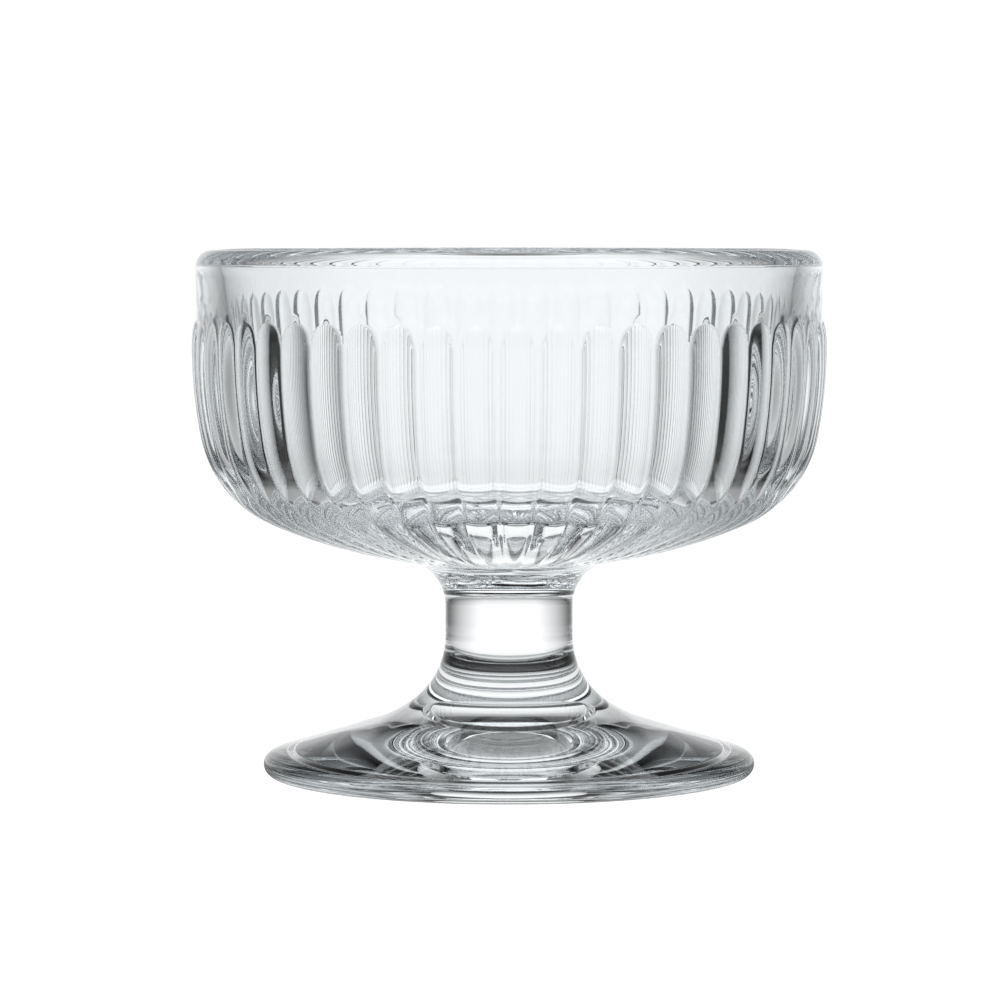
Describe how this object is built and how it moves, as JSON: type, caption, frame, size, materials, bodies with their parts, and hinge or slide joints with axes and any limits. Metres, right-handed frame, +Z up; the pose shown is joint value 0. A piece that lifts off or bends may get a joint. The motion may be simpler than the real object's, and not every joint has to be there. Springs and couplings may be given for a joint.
{
  "type": "parfait glass",
  "caption": "Low footed parfait or dessert glass in clear pressed glass: a wide bowl with convex ribs under a smooth band, a short solid stem and a broad sloping foot.",
  "frame": {"origin": "centre of the foot's resting ring, on the surface that the glass stands on", "axes": "+Z up along the axis of the glass, +X to the right and -Y towards the viewer of the picture"},
  "size_m": [0.1082, 0.1082, 0.0899],
  "materials": {
    "glass": "clear, smooth and glossy, as fire-polished pressed glass, with slight waviness"
  },
  "bodies": {
    "root": {"bowl": "glass", "stem": "glass", "foot": "glass"}
  },
  "joints": []
}
